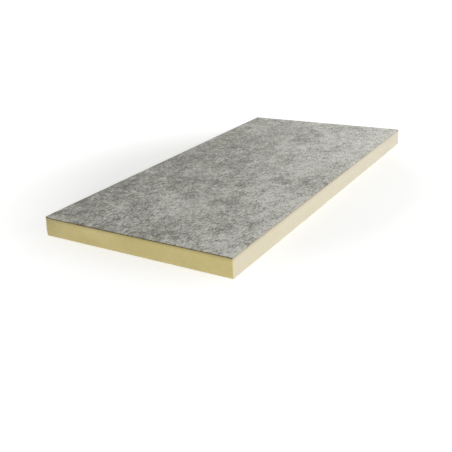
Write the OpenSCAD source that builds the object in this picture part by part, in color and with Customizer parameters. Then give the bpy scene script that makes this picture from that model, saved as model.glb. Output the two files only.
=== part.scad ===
// Polyiso insulation board: one slab of rigid foam with a fibre facer bonded to its upper face.
// Millimetres, +Z up. The board lies flat, with its length along Y and its width along X.
// The origin is under the middle of the board, on the surface that it lies on.

/* [Board outline] */
// Length of the board, along Y
board_length = 1200; // [300:10:2500]
// Width of the board, along X
board_width = 600; // [200:10:1250]
// Radius to which the saw and handling leave the four upright corners
corner_radius = 1.5; // [0.5:0.25:8]

/* [Foam core] */
// Thickness of the foam alone, from the underside to the facer
core_thickness = 54; // [15:1:200]
// Height of the rubbed lower arris, measured up the sawn side
arris_rise = 1.2; // [0.4:0.1:6]
// Depth of the rubbed lower arris, measured in along the underside
arris_run = 0.8; // [0.4:0.1:6]

/* [Facer] */
// Thickness of the fibre facer, with the foam that has soaked into its back
facer_thickness = 1; // [0.4:0.1:3]

/* [Hidden] */

foam_yellow = [0.86, 0.80, 0.58];
facer_grey = [0.59, 0.59, 0.56];
corner_facets = 48;

// Outline that the saw cuts through the foam and the facer together
module sawn_outline() {
    corner_x = board_width / 2 - corner_radius;
    corner_y = board_length / 2 - corner_radius;
    square([board_width, 2 * corner_y], center = true);
    square([2 * corner_x, board_length], center = true);
    for (side_x = [-1, 1], side_y = [-1, 1])
        translate([side_x * corner_x, side_y * corner_y])
            circle(r = corner_radius, $fn = corner_facets);
}

// Cross-section of the foam, upright and span wide, with both lower arrises rubbed away
module core_section(span) {
    polygon([
        [-span / 2 + arris_run, 0],
        [span / 2 - arris_run, 0],
        [span / 2, arris_rise],
        [span / 2, core_thickness],
        [-span / 2, core_thickness],
        [-span / 2, arris_rise]
    ]);
}

// Closed-cell foam core: the sawn outline, trimmed by the section seen from the side and the end
module foam_core() {
    color(foam_yellow)
        intersection() {
            linear_extrude(height = core_thickness)
                sawn_outline();
            rotate([90, 0, 0])
                linear_extrude(height = board_length, center = true)
                    core_section(board_width);
            rotate([90, 0, 90])
                linear_extrude(height = board_width, center = true)
                    core_section(board_length);
        }
}

// Fibre facer: one sheet over the whole upper face, trimmed flush with the sawn foam
module facer() {
    color(facer_grey)
        translate([0, 0, core_thickness])
            linear_extrude(height = facer_thickness)
                sawn_outline();
}

foam_core();
facer();
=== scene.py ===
"""Dresses the polyiso insulation board: a sawn slab of pale foam with a mottled fibre facer on its upper face.

Lengths are in millimetres, measured in the part's own frame, and turn to metres when a mesh is made. Only the studio
is in metres.
"""

import logging
import math
from collections.abc import Sequence
from dataclasses import dataclass, field
from enum import Enum

import bpy
import numpy as np
from mathutils import Matrix, Vector, noise


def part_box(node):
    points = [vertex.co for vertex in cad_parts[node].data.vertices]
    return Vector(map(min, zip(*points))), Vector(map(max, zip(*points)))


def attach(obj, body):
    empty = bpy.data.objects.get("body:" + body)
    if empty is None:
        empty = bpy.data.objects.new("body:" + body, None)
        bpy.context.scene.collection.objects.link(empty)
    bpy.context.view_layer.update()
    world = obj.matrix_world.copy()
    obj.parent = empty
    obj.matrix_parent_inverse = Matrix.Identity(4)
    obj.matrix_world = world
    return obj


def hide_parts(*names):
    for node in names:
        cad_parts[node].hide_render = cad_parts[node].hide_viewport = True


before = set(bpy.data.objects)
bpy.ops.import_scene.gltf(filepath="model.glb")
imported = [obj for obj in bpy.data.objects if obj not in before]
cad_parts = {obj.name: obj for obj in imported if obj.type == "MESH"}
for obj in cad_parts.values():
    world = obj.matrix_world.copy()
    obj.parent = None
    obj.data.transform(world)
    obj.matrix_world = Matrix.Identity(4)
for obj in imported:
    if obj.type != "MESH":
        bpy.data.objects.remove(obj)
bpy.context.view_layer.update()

LOG = logging.getLogger("polyiso_board")
MM = 0.001

Socket = bpy.types.NodeSocket
Colour = tuple[float, float, float, float]
Point = tuple[float, float, float]
Pair = tuple[float, float]
Rows = Sequence[Pair]


class Way(Enum):
    """Which way a cap of the slab looks."""

    UP = 1
    DOWN = -1


def linear(hex_colour: str) -> Colour:
    """Turns an sRGB hex colour to linear RGBA.

    Args:
        hex_colour: six hex digits after a hash.

    Returns:
        Linear red, green, blue and an alpha of 1.
    """
    parts = [int(hex_colour[i:i + 2], 16) / 255 for i in (1, 3, 5)]
    curve = [c / 12.92 if c <= 0.04045 else ((c + 0.055) / 1.055) ** 2.4 for c in parts]
    return (*curve, 1.0)


def smooth_step(low: float, high: float, value: np.ndarray) -> np.ndarray:
    """Eases from 0 at low to 1 at high.

    Args:
        low: value at which the result is 0.
        high: value at which the result is 1.
        value: what is eased.

    Returns:
        The eased share, from 0 to 1.
    """
    share = np.clip((value - low) / (high - low), 0.0, 1.0)
    return share * share * (3.0 - 2.0 * share)


@dataclass(frozen=True)
class Unevenness:
    """Bumps of a surface, drawn by fractal noise.

    The period is the size of the largest bumps, octaves the number of finer layers on them, and seed picks a stretch
    of the noise. A rise below 1 draws the bumps out upwards.
    """

    period: float
    octaves: int
    seed: float
    rise: float = 1.0
    damping: float = 1.0
    refining: float = 2.0

    def over(self, points: np.ndarray) -> np.ndarray:
        """Samples the bumps.

        Args:
            points: places in millimetres, one row each.

        Returns:
            One number for each point, mostly between -1 and 1.
        """
        offset = np.array([self.seed, 1.7 * self.seed, -0.6 * self.seed])
        shifted = points * [1.0, 1.0, self.rise] / self.period + offset
        return np.array([noise.fractal(p, self.damping, self.refining, self.octaves) for p in shifted.tolist()])


@dataclass
class SawnOutline:
    """The plan that the saw cuts: a rectangle with its four upright corners slightly rounded.

    Its points lie a step apart, and each square of a cap's grid spans a coarse number of them. The grid stops at a
    margin from the edge.
    """

    width: float
    length: float
    corner_radius: float
    step: float
    coarse: int
    margin: float = 6.0
    straight_points: int = 3
    arc_points: int = 4

    def lattice(self, span: float) -> np.ndarray:
        """Lines of the coarse grid across one span of the cap.

        Args:
            span: full size of the board in that direction.

        Returns:
            Evenly spaced places, from one margin to the other.
        """
        inner = span - 2 * self.margin
        count = round(inner / (self.step * self.coarse))
        return np.linspace(-inner / 2, inner / 2, count + 1)

    def quarter_turn(self) -> np.ndarray:
        """Points from the end of one straight side to the start of the next, on the corner at +X, -Y.

        Returns:
            Offsets from the two margins' crossing point, in millimetres.
        """
        radius = self.corner_radius
        inner = self.margin - radius
        straight = np.linspace(0.0, inner, self.straight_points + 1)[1:]
        margin = np.full(self.straight_points, self.margin)
        angles = np.radians(np.linspace(-90.0, 0.0, self.arc_points + 2)[1:-1])
        before = np.stack([straight, -margin], 1)
        arc = np.stack([inner + radius * np.cos(angles), radius * np.sin(angles) - inner], 1)
        after = np.stack([margin, -straight[::-1]], 1)
        return np.vstack([before, arc, after])

    def loop(self) -> tuple[np.ndarray, np.ndarray]:
        """The whole outline, walked anticlockwise from the start of the near side.

        Returns:
            The points in plan, and the index at which each straight side starts.
        """
        across, along = self.lattice(self.width), self.lattice(self.length)
        sides, starts, total = [], [], 0
        turn = self.quarter_turn()
        for side in range(4):
            lines = across if side % 2 == 0 else along
            half = (self.length if side % 2 == 0 else self.width) / 2
            fine = np.linspace(lines[0], lines[-1], (len(lines) - 1) * self.coarse + 1)
            straight = np.stack([fine, np.full(len(fine), -half)], 1)
            corner = turn + [lines[-1], -(half - self.margin)]
            stretch = np.vstack([straight, corner])
            angle = side * math.pi / 2
            spin = np.array([[math.cos(angle), math.sin(angle)], [-math.sin(angle), math.cos(angle)]])
            sides.append(stretch @ spin)
            starts.append(total)
            total += len(stretch)
        return np.vstack(sides), np.array(starts)

    def inward(self, points: np.ndarray, distance: np.ndarray | float) -> np.ndarray:
        """Moves outline points in towards the board's middle.

        Args:
            points: points on the outline.
            distance: how far each one moves.

        Returns:
            The moved points.
        """
        limit = np.array([self.width / 2 - self.corner_radius, self.length / 2 - self.corner_radius])
        away = points - np.clip(points, -limit, limit)
        unit = away / np.linalg.norm(away, axis=1)[:, None]
        return points - unit * np.reshape(distance, (-1, 1))


@dataclass
class SlabMesh:
    """A closed slab: walls in rows round the outline, and a cap at each end, gridded where it shows."""

    outline: SawnOutline
    rows: Rows
    gridded: Way
    points: list[np.ndarray] = field(default_factory=list)
    faces: list[list[int]] = field(default_factory=list)

    def walls(self) -> None:
        """Lays one ring of points for each row and joins the rings with quads."""
        loop, _ = self.outline.loop()
        count = len(loop)
        for height, inset in self.rows:
            ring = self.outline.inward(loop, inset)
            self.points.append(np.column_stack([ring, np.full(count, height)]))
        for row in range(len(self.rows) - 1):
            low, high = row * count, (row + 1) * count
            for i in range(count):
                j = (i + 1) % count
                self.faces.append([low + i, low + j, high + j, high + i])

    def plain_cap(self, way: Way) -> None:
        """Closes one end with a single flat face.

        Args:
            way: which end is closed.
        """
        loop, _ = self.outline.loop()
        first = (len(self.rows) - 1) * len(loop) if way is Way.UP else 0
        ring = list(range(first, first + len(loop)))
        self.faces.append(ring if way is Way.UP else ring[::-1])

    def grid_cap(self, way: Way) -> None:
        """Closes one end with a fine grid, joined to the outline by a strip of many-sided faces.

        Args:
            way: which end is closed.
        """
        outline = self.outline
        loop, starts = outline.loop()
        row = len(self.rows) - 1 if way is Way.UP else 0
        ring = row * len(loop)
        across, along = outline.lattice(outline.width), outline.lattice(outline.length)
        columns, lines = len(across), len(along)
        first = sum(len(p) for p in self.points)
        x, y = np.meshgrid(across, along)
        height = np.full(x.size, self.rows[row][0])
        self.points.append(np.column_stack([x.ravel(), y.ravel(), height]))
        made = []
        for j in range(lines - 1):
            for i in range(columns - 1):
                a = first + j * columns + i
                made.append([a, a + 1, a + columns + 1, a + columns])
        borders = [
            [first + i for i in range(columns)],
            [first + j * columns + columns - 1 for j in range(lines)],
            [first + (lines - 1) * columns + i for i in reversed(range(columns))],
            [first + j * columns for j in reversed(range(lines))],
        ]
        for side, border in enumerate(borders):
            start = starts[side]
            for k in range(len(border) - 1):
                fine = [ring + start + k * outline.coarse + s for s in range(outline.coarse + 1)]
                made.append(fine + [border[k + 1], border[k]])
            end = start + (len(border) - 1) * outline.coarse
            stop = starts[side + 1] if side < 3 else len(loop)
            corner = [ring + s for s in range(end, stop)] + [ring + starts[(side + 1) % 4]]
            made.append(corner + [border[-1]])
        self.faces += made if way is Way.UP else [f[::-1] for f in made]

    def build(self) -> tuple[np.ndarray, list[list[int]]]:
        """Makes the walls, then the upper cap and then the lower one.

        Returns:
            The points in millimetres, and the faces.
        """
        self.walls()
        for way in Way:
            if way is self.gridded:
                self.grid_cap(way)
            else:
                self.plain_cap(way)
        return np.vstack(self.points), self.faces


def to_object(name: str, points: np.ndarray, faces: list[list[int]], smooth: bool) -> bpy.types.Object:
    """Makes a mesh object of points in millimetres.

    Args:
        name: the piece's name.
        points: places in millimetres, in the part's frame.
        faces: point indices, anticlockwise from outside.
        smooth: whether its faces shade smoothly.

    Returns:
        The object, linked to the scene.
    """
    mesh = bpy.data.meshes.new(name)
    mesh.from_pydata((points * MM).tolist(), [], faces)
    mesh.polygons.foreach_set("use_smooth", [smooth] * len(mesh.polygons))
    mesh.update()
    made = bpy.data.objects.new(name, mesh)
    bpy.context.scene.collection.objects.link(made)
    return made


def corner_places(mesh: bpy.types.Mesh) -> np.ndarray:
    """Where each face corner lies, as shares of the mesh's box.

    Args:
        mesh: the piece's mesh.

    Returns:
        Three numbers from 0 to 1 for each corner.
    """
    vertex = np.zeros(len(mesh.loops), np.int32)
    mesh.loops.foreach_get("vertex_index", vertex)
    place = np.zeros(3 * len(mesh.vertices))
    mesh.vertices.foreach_get("co", place)
    corners = place.reshape(-1, 3)[vertex]
    return (corners - corners.min(axis=0)) / np.ptp(corners, axis=0)


def add_map(mesh: bpy.types.Mesh, places: np.ndarray) -> None:
    """Gives a mesh the map that its finish is baked through.

    Args:
        mesh: the piece's mesh.
        places: two numbers from 0 to 1 for each face corner.
    """
    layer = mesh.uv_layers.new(name="OFBake")
    layer.uv.foreach_set("vector", places.astype(np.float32).ravel())


@dataclass(frozen=True)
class SlabMap:
    """Bake map of a slab: the cap that shows fills most of it, beside a strip for each wall and a patch for the rest.

    Its sizes are shares of the map's side.
    """

    shown: Way
    strip: float
    patch: float = 0.02
    gap: float = 0.006

    def boxes(self) -> np.ndarray:
        """Shares out the map, from left to right: the cap that shows, the four walls and the other cap.

        Returns:
            Left, right, bottom and top for faces that look to -X, +X, -Y, +Y, -Z and +Z.
        """
        low, high = self.gap / 2, 1.0 - self.gap / 2
        edge = 1.0 - self.patch - 4 * (self.strip + self.gap) - 1.5 * self.gap
        starts = [edge + self.gap + k * (self.strip + self.gap) for k in range(4)]
        walls = [(start, start + self.strip, low, high) for start in starts]
        cap, rest = (low, edge, low, high), (1.0 - self.patch, high, low, 2 * self.patch)
        return np.array(walls + ([rest, cap] if self.shown is Way.UP else [cap, rest]))

    def lay(self, mesh: bpy.types.Mesh) -> None:
        """Lays each face in the box for the way it looks.

        Args:
            mesh: the slab's mesh.
        """
        part = corner_places(mesh)
        normals = np.array([p.normal for p in mesh.polygons])
        axis = np.abs(normals).argmax(axis=1)
        ahead = normals[np.arange(len(axis)), axis] > 0
        corners = [p.loop_total for p in mesh.polygons]
        axis, ahead = np.repeat(axis, corners), np.repeat(ahead, corners)
        left, right, bottom, top = self.boxes()[2 * axis + ahead].T
        across = np.where(axis < 2, part[:, 2], part[:, 0])
        along = np.where(axis == 1, part[:, 0], part[:, 1])
        add_map(mesh, np.column_stack([left + across * (right - left), bottom + along * (top - bottom)]))


def add_node(tree: bpy.types.NodeTree, kind: str, links: dict, **settings: object) -> bpy.types.Node:
    """Adds one node with its settings, and links or sets its inputs.

    Args:
        tree: the tree that the node goes into.
        kind: Blender's name of the node's type.
        links: input name or number, with a socket to link or a value to set.
        settings: the node's own properties.

    Returns:
        The new node.
    """
    node = tree.nodes.new(kind)
    for key, value in settings.items():
        setattr(node, key, value)
    for key, value in links.items():
        if isinstance(value, Socket):
            tree.links.new(value, node.inputs[key])
        else:
            node.inputs[key].default_value = value
    return node


@dataclass(frozen=True)
class Clouding:
    """A cloudy pattern in a finish.

    The period is the size of its largest clouds in millimetres, detail and roughness are how many finer layers it has
    and how strong they are, and bend is how far it is warped.
    """

    period: float
    detail: float
    roughness: float = 0.5
    bend: float = 0.0

    def inputs(self, place: Socket) -> dict[str, object]:
        """Says what the noise node of this pattern takes.

        Args:
            place: places in millimetres.

        Returns:
            The node's inputs.
        """
        return {"Vector": place, "Scale": 1 / self.period, "Detail": self.detail,
                "Roughness": self.roughness, "Distortion": self.bend}


@dataclass(frozen=True)
class Finish:
    """What the finishes share: an empty tree with places in millimetres, and the steps that several of them take."""

    name: str

    def start(self) -> tuple[bpy.types.Material, bpy.types.NodeTree, Socket]:
        """Makes an empty material.

        Returns:
            The material, its tree, and a socket with the place on the piece in millimetres.
        """
        material = bpy.data.materials.new(self.name)
        material.use_nodes = True
        tree = material.node_tree
        tree.nodes.clear()
        metres = add_node(tree, "ShaderNodeTexCoord", {}).outputs["Object"]
        place = add_node(tree, "ShaderNodeVectorMath", {0: metres, 1: (1 / MM,) * 3}, operation="MULTIPLY")
        return material, tree, place.outputs[0]

    def sum_of(self, tree: bpy.types.NodeTree, parts: list[tuple[Socket, float]],
               start: Socket | float = 0.0) -> Socket:
        """Adds weighted values.

        Args:
            tree: the material's tree.
            parts: each value with its weight.
            start: what is added to the sum.

        Returns:
            The sum.
        """
        total = start
        for value, weight in parts:
            total = add_node(tree, "ShaderNodeMath", {0: value, 1: weight, 2: total},
                             operation="MULTIPLY_ADD").outputs[0]
        return total

    def clouded(self, tree: bpy.types.NodeTree, parts: list[tuple[Socket, float]], middle: float) -> Socket:
        """Adds weighted patterns, each around 0.5, so that the sum lies around a given middle.

        Args:
            tree: the material's tree.
            parts: each pattern with its weight.
            middle: the sum where every pattern is 0.5.

        Returns:
            The sum.
        """
        return self.sum_of(tree, parts, middle - 0.5 * sum(weight for _, weight in parts))

    def shaded(self, tree: bpy.types.NodeTree, colours: tuple[Socket | Colour, Colour], value: Socket,
               span: Pair, most: float = 1.0) -> Socket:
        """Passes from one colour to another as a value runs along a span.

        Args:
            tree: the material's tree.
            colours: the colour at the span's start, and the one laid over it.
            value: what decides how much of the second colour shows.
            span: the values where none of it shows and where the most does.
            most: how much of it shows then.

        Returns:
            The mixed colour.
        """
        share = add_node(tree, "ShaderNodeMapRange",
                         {"Value": value, "From Min": span[0], "From Max": span[1], "To Max": most}).outputs[0]
        return add_node(tree, "ShaderNodeMix", {0: share, 6: colours[0], 7: colours[1]},
                        data_type="RGBA").outputs[2]

    def end(self, tree: bpy.types.NodeTree, colour: Socket, relief: Socket, depth: float, sockets: dict) -> None:
        """Ends the tree in one shader with a bump.

        Args:
            tree: the material's tree.
            colour: the base colour.
            relief: the height of the bump, around 0.5.
            depth: the bump's height in millimetres.
            sockets: other inputs of the shader.
        """
        bump = add_node(tree, "ShaderNodeBump", {"Height": relief, "Distance": depth * MM, "Strength": 1.0})
        shader = add_node(tree, "ShaderNodeBsdfPrincipled",
                          {"Base Color": colour, "Normal": bump.outputs[0], **sockets})
        add_node(tree, "ShaderNodeOutputMaterial", {"Surface": shader.outputs[0]})


@dataclass(frozen=True)
class CutLook:
    """Colours of one kind of foam face, how deep the facer's resin soaked it, and how it scatters the light.

    The rim gives how far below the foam's top the soaked band starts and where it is full, in millimetres; the band
    also holds painted shade under the facer's edge.
    """

    name: str
    pale: str
    deep: str
    soaked: str
    rim: Pair
    haze: float


class Cut(Enum):
    """How a face of the foam was made.

    The belt draws the rising cells out along the board. A cross cut looks into them and reads deeper, a rip cut
    tears along them and looks whiter, and the side foamed against the belt has a smooth pale skin. Part of the two
    cuts' difference is painted light: the rip cut is painted paler for the light on the long side that faces the
    lamps, and the cross cut deeper for the shade on the ends.
    """

    # Painted light in part: the rip cut's paler colours stand in for light on the lit long side, the cross cut's
    # deeper ones for shade on the ends.
    CROSS = CutLook("cross_cut", "#EADB9B", "#D3C279", "#4A340A", (3.0, 1.1), 0.4)
    RIP = CutLook("rip_cut", "#E9DBB2", "#D9C992", "#8F7400", (4.4, 1.8), 0.75)
    BELT = CutLook("belt_skin", "#EADDAC", "#D9C98E", "#AD9054", (3.0, 1.1), 0.5)


@dataclass(frozen=True)
class SawnPolyiso(Finish):
    """Closed-cell polyisocyanurate foam, foamed against a belt and sawn: matt, chalky and pale yellow."""

    name: str = "polyiso_foam"
    cut: Cut = Cut.CROSS
    deeper_foam: str = "#AC9C5E"
    clouds: Clouding = Clouding(70.0, 2.0)
    lumps: Clouding = Clouding(14.0, 3.0, 0.55)
    grain: Clouding = Clouding(2.4, 3.0, 0.6)
    flattening: float = 2.2
    cell: float = 1.1
    cell_wall: Pair = (0.02, 0.3)
    top: float = 54.0
    dense_band: Pair = (14.0, 0.5)
    pressed: Pair = (-300.0, -600.0)
    pressed_reach: float = 75.0
    corner_deepening: float = 0.65
    relief: float = 0.5
    roughness: float = 0.62
    ior: float = 1.5
    chalk: float = 1.0

    def make(self) -> bpy.types.Material:
        """Builds the material.

        Returns:
            The foam's material.
        """
        material, tree, place = self.start()
        look = self.cut.value
        material.name = f"{self.name}_{look.name}"
        # Density drifts in the rising foam: broad soft clouds, flattened because it rises between two belts.
        flat = add_node(tree, "ShaderNodeVectorMath", {0: place, 1: (1.0, 1.0, self.flattening)},
                        operation="MULTIPLY").outputs[0]
        clouds = add_node(tree, "ShaderNodeTexNoise", self.clouds.inputs(flat)).outputs["Fac"]
        lumps = add_node(tree, "ShaderNodeTexNoise", self.lumps.inputs(flat)).outputs["Fac"]
        grain = add_node(tree, "ShaderNodeTexNoise", self.grain.inputs(place)).outputs["Fac"]
        tone = self.clouded(tree, [(clouds, 0.55), (lumps, 0.45), (grain, 0.35)], 0.5)
        body = self.shaded(tree, (linear(look.deep), linear(look.pale)), tone, (0.2, 0.8))
        # The foam is deeper in colour towards the pressed near-left corner.
        away = add_node(tree, "ShaderNodeVectorMath", {0: place, 1: (*self.pressed, self.top)},
                        operation="DISTANCE").outputs["Value"]
        body = self.shaded(tree, (body, linear(self.deeper_foam)), away, (self.pressed_reach, 0.0), self.corner_deepening)
        # The foam is denser and deeper in colour over the last few millimetres under the facer.
        height = add_node(tree, "ShaderNodeSeparateXYZ", {0: place}).outputs["Z"]
        nearer = add_node(tree, "ShaderNodeMapRange",
                          {"Value": height, "From Min": self.top - self.dense_band[0],
                           "From Max": self.top - self.dense_band[1]}).outputs[0]
        denser = add_node(tree, "ShaderNodeMath", {0: nearer, 1: 2.0}, operation="POWER").outputs[0]
        body = self.shaded(tree, (body, linear(self.deeper_foam)), denser, (0.0, 1.0))
        # Foam that soaked into the back of the facer sets brown, deeper in some stretches than in others.
        # The same band also carries painted shade under the facer's edge, so it is darker and wider than the soak
        # alone.
        wander = self.clouded(tree, [(lumps, 4.6), (grain, 1.2)], 0.0)
        soaked = self.sum_of(tree, [(height, 1.0)], wander)
        rim = (self.top - look.rim[0], self.top - look.rim[1])
        body = self.shaded(tree, (body, linear(look.soaked)), soaked, rim)
        # Real cells are about 0.3 mm; they are drawn at 1.1 mm so that a few show.
        cells = add_node(tree, "ShaderNodeTexVoronoi", {"Vector": place, "Scale": 1 / self.cell},
                         feature="DISTANCE_TO_EDGE").outputs["Distance"]
        hollows = add_node(tree, "ShaderNodeMapRange",
                           {"Value": cells, "From Min": self.cell_wall[0],
                            "From Max": self.cell_wall[1]}).outputs[0]
        relief = self.sum_of(tree, [(grain, 0.5), (hollows, 0.35), (lumps, 0.3)])
        self.end(tree, body, relief, self.relief,
                 {"Roughness": self.roughness, "IOR": self.ior, "Sheen Weight": self.chalk,
                  "Sheen Roughness": look.haze})
        return material


@dataclass(frozen=True)
class BondedFleece(Finish):
    """Wet-laid glass and cellulose fleece with a thin mineral coat: matt grey, clouded where fibres bunch.

    The roll says which stretch of the long web the sheet was cut from, and the painted light drift how much paler it
    is painted with each millimetre towards +X, standing in for the light from that side. Bundles and clumps are given
    by their length and width.
    """

    name: str = "bonded_fibre_fleece"
    dark: str = "#2E2E20"
    middle: str = "#A2A196"
    light: str = "#DDDCD5"
    fuzz: str = "#FFFEF2"
    clouds: Clouding = Clouding(90.0, 1.0, 0.55, 0.4)
    mottle: Clouding = Clouding(30.0, 2.0, 0.6, 0.5)
    bunches: Clouding = Clouding(27.0, 3.0, 0.6, 0.4)
    grain: Clouding = Clouding(10.0, 3.0, 0.7)
    strand: Clouding = Clouding(1.0, 2.0, 0.5, 0.6)
    bundle: Pair = (18.0, 1.6)
    bundle_angles: tuple[float, ...] = (12.0, 41.0, 76.0, 98.0, 129.0, 163.0)
    clump: Pair = (12.0, 3.8)
    clump_angle: float = 84.0
    drawn_out: float = 0.7
    bunch_span: Pair = (0.52, 0.75)
    roll: Pair = (2055.0, 3165.0)
    tone: float = 0.57
    painted_light_drift: float = 0.00115
    relief: float = 0.9
    roughness: float = 0.6
    ior: float = 1.5
    nap: float = 0.3

    def strands(self, tree: bpy.types.NodeTree, place: Socket, angle: float, size: Pair) -> Socket:
        """Fine lines that run mostly one way, like fibres laid down by the belt.

        Args:
            tree: the material's tree.
            place: places in millimetres.
            angle: the direction of the lines, in degrees from X.
            size: their length and width, in millimetres.

        Returns:
            A value around 0.5.
        """
        turned = add_node(tree, "ShaderNodeMapping",
                          {"Vector": place, "Rotation": (0.0, 0.0, math.radians(angle)), "Scale": (*size, 1.0)},
                          vector_type="TEXTURE").outputs[0]
        return add_node(tree, "ShaderNodeTexNoise", self.strand.inputs(turned)).outputs["Fac"]

    def make(self) -> bpy.types.Material:
        """Builds the material.

        Returns:
            The fleece's material.
        """
        material, tree, place = self.start()
        # The fibres are laid by a moving belt, so every cloud is drawn out along the web.
        web = add_node(tree, "ShaderNodeVectorMath",
                       {0: place, 1: (1.0, self.drawn_out, 1.0), 2: (*self.roll, 0.0)},
                       operation="MULTIPLY_ADD").outputs[0]
        clouds, mottle, grain, bunches = (
            add_node(tree, "ShaderNodeTexNoise", pattern.inputs(web)).outputs["Fac"]
            for pattern in (self.clouds, self.mottle, self.grain, self.bunches))
        # Single fibres are about 0.02 mm; bundles are drawn 1.6 mm wide so that they show.
        laid = [self.strands(tree, place, angle, self.bundle) for angle in self.bundle_angles]
        clumps = self.strands(tree, place, self.clump_angle, self.clump)
        weights = [(clouds, 2.2), (mottle, 2.9), (grain, 2.0), (clumps, 5.6), *[(s, 1.8) for s in laid]]
        tone = self.clouded(tree, weights, self.tone)
        # Painted light: the fleece is painted paler towards +X, where the lamps fall more strongly.
        across = add_node(tree, "ShaderNodeSeparateXYZ", {0: place}).outputs["X"]
        # Fibres that bunch hold less of the coat and read darker.
        bunched = add_node(tree, "ShaderNodeMapRange",
                           {"Value": bunches, "From Min": self.bunch_span[0],
                            "From Max": self.bunch_span[1]}).outputs[0]
        tone = self.sum_of(tree, [(across, self.painted_light_drift), (bunched, -0.7)], tone)
        shade = self.shaded(tree, (linear(self.dark), linear(self.middle)), tone, (-0.5, 0.5))
        shade = self.shaded(tree, (shade, linear(self.light)), tone, (0.5, 1.5))
        relief = self.sum_of(tree, [(grain, 0.4), (mottle, 0.3), *[(s, 0.3) for s in laid]])
        self.end(tree, shade, relief, self.relief,
                 {"Roughness": self.roughness, "IOR": self.ior, "Sheen Weight": self.nap,
                  "Sheen Tint": linear(self.fuzz), "Specular Tint": linear(self.fuzz)})
        return material


@dataclass(frozen=True)
class SoakedEdge(Finish):
    """Fleece that the foam's resin soaked, on its cut edge and its back: dark brown, with paler fibre ends."""

    name: str = "resin_soaked_edge"
    resin: str = "#5B4315"
    ends: str = "#846A30"
    fibre_ends: Clouding = Clouding(3.0, 3.0, 0.7)
    relief: float = 0.4
    roughness: float = 0.75
    ior: float = 1.5

    def make(self) -> bpy.types.Material:
        """Builds the material.

        Returns:
            The edge's material.
        """
        material, tree, place = self.start()
        ends = add_node(tree, "ShaderNodeTexNoise", self.fibre_ends.inputs(place)).outputs["Fac"]
        colour = self.shaded(tree, (linear(self.resin), linear(self.ends)), ends, (0.4, 0.75))
        self.end(tree, colour, ends, self.relief, {"Roughness": self.roughness, "IOR": self.ior})
        return material


@dataclass(frozen=True)
class LooseFibre(Finish):
    """Glass and cellulose fibre bundles that the coat didn't cover: thin, pale or dark, dull."""

    name: str = "loose_fibre"
    thin: str = "#9A9A92"
    full: str = "#D2D1CB"
    change: Clouding = Clouding(20.0, 2.0)
    relief: float = 0.05
    roughness: float = 0.7
    ior: float = 1.5

    def make(self) -> bpy.types.Material:
        """Builds the material.

        Returns:
            The fibres' material.
        """
        material, tree, place = self.start()
        along = add_node(tree, "ShaderNodeTexNoise", self.change.inputs(place)).outputs["Fac"]
        colour = self.shaded(tree, (linear(self.thin), linear(self.full)), along, (0.35, 0.65))
        self.end(tree, colour, along, self.relief, {"Roughness": self.roughness, "IOR": self.ior})
        return material


@dataclass
class CrushedCorner:
    """The near-left corner, which handling has pressed down and in a little.

    Its tip moves by the drop and the push, and what lies within the reach and the depth of it follows, less and less.
    """

    corner: Pair
    drop: float = 0.2
    push: Pair = (0.4, 3.4)
    reach: float = 60.0
    depth: float = 40.0

    def press(self, points: np.ndarray, top: float) -> np.ndarray:
        """Presses points near the corner.

        Args:
            points: places in millimetres.
            top: height of the board's upper face.

        Returns:
            The moved points.
        """
        offset = points[:, :2] - np.array(self.corner)
        near = 1.0 - smooth_step(0.0, self.reach, np.linalg.norm(offset, axis=1))
        high = smooth_step(top - self.depth, top, points[:, 2])
        share = near ** 2 * high
        moved = points.copy()
        moved[:, 2] -= self.drop * share
        inwards = -np.sign(self.corner) * self.push
        moved[:, :2] += inwards * share[:, None]
        return moved


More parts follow.
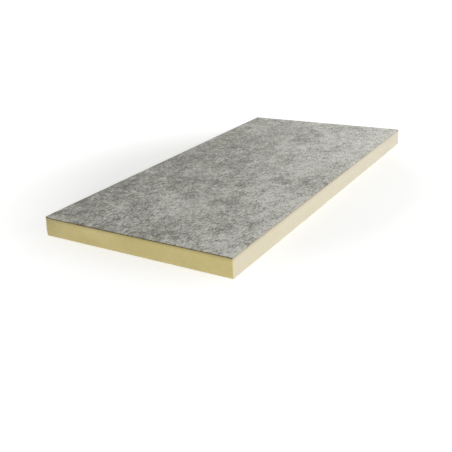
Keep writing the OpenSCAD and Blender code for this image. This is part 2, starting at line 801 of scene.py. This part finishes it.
@dataclass
class FoamCore:
    """The sawn foam slab.

    Each row of the arris gives a height above the underside and how far the foam is rubbed in there. The rim says how
    far down and how far in the top arris is broken. A pit or a nick starts where its noise passes its onset's first
    number, and is at its deepest from the second.
    """

    low: np.ndarray
    high: np.ndarray
    crush: CrushedCorner
    top: float
    corner_radius: float = 1.5
    step: float = 2.0
    coarse: int = 3
    row_height: float = 2.0
    arris: Rows = ((0.0, 0.8), (0.2, 0.38), (0.6, 0.12), (1.2, 0.0))
    rim: Pair = (0.4, 0.06)
    waves: Unevenness = Unevenness(90.0, 2, 3.1, 0.5)
    wave_depth: float = 0.22
    pits: Unevenness = Unevenness(5.0, 2, 8.4)
    pit_onset: Pair = (0.35, 0.75)
    pit_depth: float = 0.35
    nicks: Unevenness = Unevenness(16.0, 2, 5.7, 0.3)
    nick_onset: Pair = (0.25, 0.8)
    nick_depth: float = 0.7
    nick_height: float = 3.5
    skin: Unevenness = Unevenness(45.0, 2, 2.2)
    skin_depth: float = 0.12
    skin_grain: Unevenness = Unevenness(9.0, 2, 6.6)
    skin_grain_depth: float = 0.05
    wall_strip: float = 0.085

    def rows(self) -> Rows:
        """Heights of the wall's rings, with the lower arris rubbed round and the top one barely broken.

        Returns:
            Each ring's height and how far it is set in.
        """
        floor, ceiling = float(self.low[2]), float(self.high[2])
        arris = [(floor + height, inset) for height, inset in self.arris]
        start, stop = arris[-1][0], ceiling - self.rim[0]
        wall = np.linspace(start, stop, round((stop - start) / self.row_height) + 1)[1:]
        return arris + [(float(z), 0.0) for z in wall] + [(ceiling, self.rim[1])]

    def build(self) -> bpy.types.Object:
        """Makes the slab with its saw waviness, pits and worn arrises, and a nearly flat skin below.

        Returns:
            The foam's object.
        """
        width, length = self.high[:2] - self.low[:2]
        outline = SawnOutline(float(width), float(length), self.corner_radius, self.step, self.coarse)
        rows = self.rows()
        points, faces = SlabMesh(outline, rows, Way.DOWN).build()
        ring = len(outline.loop()[0]) * len(rows)
        wall, under = points[:ring], points[ring:]
        waves = np.clip(0.5 + 0.5 * self.waves.over(wall), 0.0, 1.0)
        pits = smooth_step(*self.pit_onset, self.pits.over(wall))
        nicks = smooth_step(*self.nick_onset, self.nicks.over(wall))
        low_edge = 1.0 - smooth_step(0.0, self.nick_height, wall[:, 2] - self.low[2])
        depth = self.wave_depth * waves + self.pit_depth * pits + self.nick_depth * nicks * low_edge
        wall[:, :2] = outline.inward(wall[:, :2], depth)
        skin = self.skin_depth * np.clip(0.5 + self.skin.over(under), 0.0, 1.0)
        grain = self.skin_grain_depth * np.clip(0.5 + self.skin_grain.over(under), 0.0, 1.0)
        under[:, 2] += skin + grain
        return to_object("foam_core_sawn", self.crush.press(points, self.top), faces, True)

    def dress(self) -> bpy.types.Object:
        """Builds the slab, gives it its finish and stands it in for the CAD node.

        Returns:
            The foam's object.
        """
        slab = self.build()
        cuts = list(Cut)
        for cut in cuts:
            finish = SawnPolyiso(cut=cut, top=float(self.high[2]), pressed=self.crush.corner)
            slab.data.materials.append(finish.make())
        normals = np.abs([p.normal for p in slab.data.polygons])
        kinds = np.where(normals[:, 0] > normals[:, 1], cuts.index(Cut.RIP), cuts.index(Cut.CROSS))
        nearly_level = normals[:, 2] > 0.9
        kinds[nearly_level] = cuts.index(Cut.BELT)
        slab.data.polygons.foreach_set("material_index", kinds.tolist())
        SlabMap(Way.DOWN, self.wall_strip).lay(slab.data)
        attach(slab, "root")
        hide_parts("foam_core")
        return slab


@dataclass
class Facer:
    """The fibre sheet bonded over the foam.

    Each row of its edge gives a height and how far the edge is set in there: the lower rows are measured up from its
    back, and the upper ones down from its face.
    """

    low: np.ndarray
    high: np.ndarray
    crush: CrushedCorner
    corner_radius: float = 1.5
    step: float = 1.5
    coarse: int = 2
    lower_rows: Rows = ((0.0, 0.1), (0.3, 0.0), (0.65, 0.0))
    upper_rows: Rows = ((0.1, 0.08), (0.0, 0.3))
    bunches: Unevenness = Unevenness(26.0, 3, 11.3)
    grain: Unevenness = Unevenness(6.0, 2, 4.9)
    relief: float = 0.28
    face_depth: float = 0.2
    tears: Unevenness = Unevenness(7.0, 3, 9.2)
    tear_span: Pair = (-0.4, 1.0)
    tear_depth: float = 0.5
    sags: Unevenness = Unevenness(11.0, 2, 1.4)
    sag_depth: float = 0.5
    wall_strip: float = 0.008

    def surface(self, plan: np.ndarray) -> np.ndarray:
        """Height of the upper face over each place.

        Args:
            plan: places in plan, in millimetres.

        Returns:
            Heights in millimetres, before the corner is pressed.
        """
        flat = np.column_stack([plan, np.zeros(len(plan))])
        return self.high[2] + self.relief * (0.55 * self.bunches.over(flat) + 0.45 * self.grain.over(flat))

    def build(self) -> bpy.types.Object:
        """Makes the sheet with its ragged cut edge.

        Returns:
            The facer's object.
        """
        width, length = self.high[:2] - self.low[:2]
        outline = SawnOutline(float(width), float(length), self.corner_radius, self.step, self.coarse)
        floor, ceiling = float(self.low[2]), float(self.high[2])
        rows = [(floor + height, inset) for height, inset in self.lower_rows]
        rows += [(ceiling - height, inset) for height, inset in self.upper_rows]
        points, faces = SlabMesh(outline, rows, Way.UP).build()
        ring = len(outline.loop()[0])
        wall, hem = points[:ring * len(rows)], points[:ring * 2]
        tears = np.clip(self.tears.over(wall), *self.tear_span)
        sags = np.clip(self.sags.over(hem), 0.0, 1.0)
        wall[:, :2] = outline.inward(wall[:, :2], self.tear_depth * tears)
        hem[:, 2] -= self.sag_depth * sags
        top = points[:, 2] > ceiling - self.face_depth
        points[top, 2] += self.surface(points[top, :2]) - ceiling
        return to_object("facer_sheet", self.crush.press(points, ceiling), faces, True)

    def finish(self, sheet: bpy.types.Object) -> None:
        """Gives the face, the cut edge and the back their finishes.

        Args:
            sheet: the facer's object.
        """
        mesh = sheet.data
        # The long edges are the web's own, less soaked than the two that were sawn across it.
        fleece, sawn_edge, web_edge = range(3)
        for look in (BondedFleece(), SoakedEdge(), SoakedEdge("web_edge", "#6E4C08", "#8F701C")):
            mesh.materials.append(look.make())
        kinds = np.full(len(mesh.polygons), fleece)
        normals = np.abs([p.normal for p in mesh.polygons])
        # The two lowest rows of the edge are soaked; each has a face for every point of the outline.
        soaked = 2 * mesh.polygons[-1].loop_total
        kinds[:soaked] = np.where(normals[:soaked, 0] > normals[:soaked, 1], web_edge, sawn_edge)
        # So is the whole back, where the foam bonds to it; that face is made last.
        kinds[-1] = sawn_edge
        mesh.polygons.foreach_set("material_index", kinds.tolist())
        SlabMap(Way.UP, self.wall_strip).lay(mesh)

    def dress(self) -> bpy.types.Object:
        """Builds the sheet and stands it in for the CAD node.

        Returns:
            The facer's object.
        """
        sheet = self.build()
        self.finish(sheet)
        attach(sheet, "root")
        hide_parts("facer")
        return sheet


@dataclass
class FibreLay:
    """Loose fibre bundles that lie on the facer, each a bent sliver with three sides.

    The wobble and the curl are the turns in radians from one step of a sliver to the next: the first differs at each
    step, and the second is kept all along. The tip and the blunting shape how the width tapers towards both ends. The
    sides are sunk in the facer and the crest stands proud of it.
    """

    facer: Facer
    name: str
    count: int
    seed: int
    length: Pair
    width: float
    colours: tuple[str, str]
    segments: int = 7
    wobble: float = 0.16
    curl: float = 0.09
    tip: float = 0.25
    blunting: float = 0.6
    thinnest: float = 0.6
    thickest: float = 1.3
    sunk: float = 0.1
    proud: float = 0.12

    def paths(self, chance: np.random.Generator) -> np.ndarray:
        """Lays each fibre's middle line on the facer.

        Args:
            chance: the source of random numbers.

        Returns:
            Points in plan, for each fibre and step.
        """
        half = (self.facer.high[:2] - self.facer.low[:2]) / 2 - self.length[1] * 0.5
        middle = chance.uniform(-1, 1, (self.count, 2)) * half
        heading = chance.uniform(0, 2 * math.pi, self.count)
        turn = chance.normal(0, self.wobble, (self.count, self.segments)).cumsum(axis=1)
        bend = chance.normal(0, self.curl, self.count)[:, None] * np.arange(self.segments)
        angle = heading[:, None] + turn + bend
        step = chance.uniform(*self.length, self.count) / self.segments
        moves = np.stack([np.cos(angle), np.sin(angle)], 2) * step[:, None, None]
        walked = np.concatenate([np.zeros((self.count, 1, 2)), moves.cumsum(axis=1)], axis=1)
        return walked - walked.mean(axis=1, keepdims=True) + middle[:, None, :]

    def slivers(self) -> np.ndarray:
        """Thickens the middle lines to a left, a right and a crest line each.

        Returns:
            Places in millimetres, three for each step of each fibre.
        """
        chance = np.random.default_rng(self.seed)
        paths = self.paths(chance)
        steps = self.segments + 1
        ahead = np.gradient(paths, axis=1)
        ahead /= np.linalg.norm(ahead, axis=2, keepdims=True)
        side = np.stack([-ahead[:, :, 1], ahead[:, :, 0]], 2)
        taper = np.sin(np.linspace(self.tip, math.pi - self.tip, steps)) ** self.blunting
        spread = chance.uniform(self.thinnest, self.thickest, self.count)
        half = self.width * spread[:, None] * taper[None, :] / 2
        height = self.facer.surface(paths.reshape(-1, 2)).reshape(self.count, steps)
        base = (height - self.sunk)[:, :, None]
        left = np.concatenate([paths + side * half[:, :, None], base], 2)
        right = np.concatenate([paths - side * half[:, :, None], base], 2)
        crest = np.concatenate([paths, (height + self.proud + half / 2)[:, :, None]], 2)
        return np.stack([left, right, crest], 2).reshape(-1, 3)

    def sliver_faces(self) -> list[list[int]]:
        """Joins the three lines of one fibre.

        Returns:
            Its faces: three for each segment and one at each end.
        """
        faces = []
        for step in range(0, 3 * self.segments, 3):
            for a, b in ((0, 1), (1, 2), (2, 0)):
                faces.append([step + b, step + a, step + 3 + a, step + 3 + b])
        last = 3 * self.segments
        return faces + [[0, 1, 2], [last + 2, last + 1, last]]

    def build(self) -> bpy.types.Object:
        """Makes every sliver as one mesh.

        Returns:
            The fibres' object.
        """
        one, corners = self.sliver_faces(), 3 * (self.segments + 1)
        faces = [[k * corners + v for v in face] for k in range(self.count) for face in one]
        pressed = self.facer.crush.press(self.slivers(), float(self.facer.high[2]))
        made = to_object(self.name, pressed, faces, False)
        add_map(made.data, corner_places(made.data)[:, :2])
        return made

    def dress(self) -> bpy.types.Object:
        """Builds the fibres and lets them ride with the board.

        Returns:
            The fibres' object.
        """
        lay = self.build()
        lay.data.materials.append(LooseFibre(self.name + "_glass", *self.colours).make())
        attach(lay, "root")
        return lay


@dataclass(frozen=True)
class Lamp:
    """One soft white lamp: where it hangs and what it faces, in metres, its width and height, and its watts."""

    name: str
    place: Point
    aim: Point
    size: Pair
    power: float

    def hang(self) -> bpy.types.Object:
        """Adds the lamp to the scene.

        Returns:
            The lamp.
        """
        data = bpy.data.lights.new(self.name, "AREA")
        data.shape = "RECTANGLE"
        data.size, data.size_y = self.size
        data.energy = self.power
        made = bpy.data.objects.new(self.name, data)
        made.location = self.place
        made.rotation_euler = (Vector(self.place) - Vector(self.aim)).to_track_quat("Z", "Y").to_euler()
        bpy.context.scene.collection.objects.link(made)
        return made


@dataclass(frozen=True)
class Studio:
    """Plain pale floor, soft lamps and the camera of the photograph.

    The camera's angles are in degrees. Each pair for the floor gives a distance from the board's middle in metres and
    how much white is added to the paper there: less close by, so that the board's shadow shows.
    """

    picture: float = 452.0
    focal_pixels: float = 637.5
    sensor: float = 36.0
    eye: Point = (0.996, -1.6956, 0.6826)
    yaw: float = -32.88
    pitch: float = 22.92
    roll: float = -3.42
    sight: float = 200.0
    paper: str = "#E6E6E4"
    floor_reach: float = 60.0
    floor_near: Pair = (0.5, 0.44)
    floor_far: Pair = (1.3, 0.95)
    sky_light: float = 0.32
    lamps: tuple[Lamp, ...] = (
        Lamp("strip", (1.35, 0.45, 0.7), (0.2, 0.25, 0.05), (2.6, 0.5), 6.5),
        Lamp("back", (-0.3, 2.6, 0.8), (0.0, 0.3, 0.05), (1.6, 0.8), 16.0),
        Lamp("side", (2.5, -0.5, 0.3), (0.0, 0.0, 0.05), (1.0, 0.4), 20.0),
        Lamp("fill", (0.5, -3.2, 0.7), (0.0, -0.5, 0.0), (1.6, 1.2), 27.0),
        Lamp("left", (-2.6, 0.1, 0.16), (0.0, 0.0, 0.03), (1.6, 0.26), 20.0),
    )

    def camera(self) -> bpy.types.Object:
        """Sets the camera where the photograph was taken from.

        Returns:
            The camera.
        """
        yaw, pitch, roll = (math.radians(a) for a in (self.yaw, self.pitch, self.roll))
        ahead = Vector((math.sin(yaw) * math.cos(pitch), math.cos(yaw) * math.cos(pitch), -math.sin(pitch)))
        level = Vector((math.cos(yaw), -math.sin(yaw), 0.0))
        down = ahead.cross(level)
        right = math.cos(roll) * level - math.sin(roll) * down
        below = math.sin(roll) * level + math.cos(roll) * down
        data = bpy.data.cameras.new("camera")
        data.sensor_width = self.sensor
        data.lens = self.sensor * self.focal_pixels / self.picture
        data.clip_end = self.sight
        made = bpy.data.objects.new("camera", data)
        turn = Matrix((right, -below, -ahead)).transposed()
        made.matrix_world = Matrix.Translation(self.eye) @ turn.to_4x4()
        bpy.context.scene.collection.objects.link(made)
        bpy.context.scene.camera = made
        return made

    def white_where_seen(self, tree: bpy.types.NodeTree) -> Socket:
        """Tells the rays that show the background from those that light the object.

        Args:
            tree: the tree that asks.

        Returns:
            1 for camera, glossy and transmission rays, else 0.
        """
        path = add_node(tree, "ShaderNodeLightPath", {}).outputs
        seen = path["Is Camera Ray"]
        for ray in ("Is Glossy Ray", "Is Transmission Ray"):
            seen = add_node(tree, "ShaderNodeMath", {0: seen, 1: path[ray]}, operation="MAXIMUM").outputs[0]
        return seen

    def floor(self) -> bpy.types.Object:
        """Lays the floor: white away from the board, with a soft shadow close to it.

        Returns:
            The floor.
        """
        reach = self.floor_reach / MM
        corners = np.array([(-1, -1, 0), (1, -1, 0), (1, 1, 0), (-1, 1, 0)]) * reach
        made = to_object("floor", corners, [[0, 1, 2, 3]], False)
        # Matt paper: it takes the shadow, and the white added to it hides its far edge.
        material = bpy.data.materials.new("white_paper_floor")
        material.use_nodes = True
        tree = material.node_tree
        tree.nodes.clear()
        paper = add_node(tree, "ShaderNodeBsdfDiffuse", {"Color": linear(self.paper)})
        place = add_node(tree, "ShaderNodeNewGeometry", {}).outputs["Position"]
        away = add_node(tree, "ShaderNodeVectorMath", {0: place}, operation="LENGTH").outputs["Value"]
        white = add_node(tree, "ShaderNodeMapRange",
                         {"Value": away, "From Min": self.floor_near[0], "From Max": self.floor_far[0],
                          "To Min": self.floor_near[1], "To Max": self.floor_far[1]}).outputs[0]
        strength = add_node(tree, "ShaderNodeMath", {0: self.white_where_seen(tree), 1: white},
                            operation="MULTIPLY").outputs[0]
        glow = add_node(tree, "ShaderNodeEmission", {"Color": (1.0, 1.0, 1.0, 1.0), "Strength": strength})
        both = add_node(tree, "ShaderNodeAddShader", {0: paper.outputs[0], 1: glow.outputs[0]})
        add_node(tree, "ShaderNodeOutputMaterial", {"Surface": both.outputs[0]})
        made.data.materials.append(material)
        return made

    def sky(self) -> None:
        """Lights the board evenly from all round, with white behind it."""
        world = bpy.data.worlds.new("studio")
        world.use_nodes = True
        bpy.context.scene.world = world
        tree = world.node_tree
        tree.nodes.clear()
        strength = add_node(tree, "ShaderNodeMapRange",
                            {"Value": self.white_where_seen(tree), "To Min": self.sky_light}).outputs[0]
        back = add_node(tree, "ShaderNodeBackground", {"Color": (1.0, 1.0, 1.0, 1.0), "Strength": strength})
        add_node(tree, "ShaderNodeOutputWorld", {"Surface": back.outputs[0]})

    def build(self) -> None:
        """Sets up the camera, the floor, the sky and the lamps."""
        self.camera()
        self.floor()
        self.sky()
        for lamp in self.lamps:
            lamp.hang()
        bpy.context.scene.view_settings.view_transform = "Standard"


def main() -> None:
    """Builds the studio and the board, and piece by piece."""
    logging.basicConfig(level=logging.INFO, format="%(name)s: %(message)s")
    Studio().build()
    foam_low, foam_high = (np.array(c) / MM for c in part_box("foam_core"))
    facer_low, facer_high = (np.array(c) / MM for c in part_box("facer"))
    crush = CrushedCorner((float(facer_low[0]), float(facer_low[1])))
    foam = FoamCore(foam_low, foam_high, crush, float(facer_high[2]))
    facer = Facer(facer_low, facer_high, crush)
    pale = FibreLay(facer, "pale_fibres", count=3600, seed=11, length=(9.0, 30.0), width=0.55,
                    colours=("#A6A69E", "#D6D5CF"))
    dark = FibreLay(facer, "dark_fibres", count=1800, seed=23, length=(7.0, 24.0), width=0.5,
                    colours=("#5C5C55", "#7D7D75"))
    for piece in (foam, facer, pale, dark):
        made = piece.dress()
        LOG.info("%s: %d faces", made.name, len(made.data.polygons))


if __name__ == "__main__":
    main()
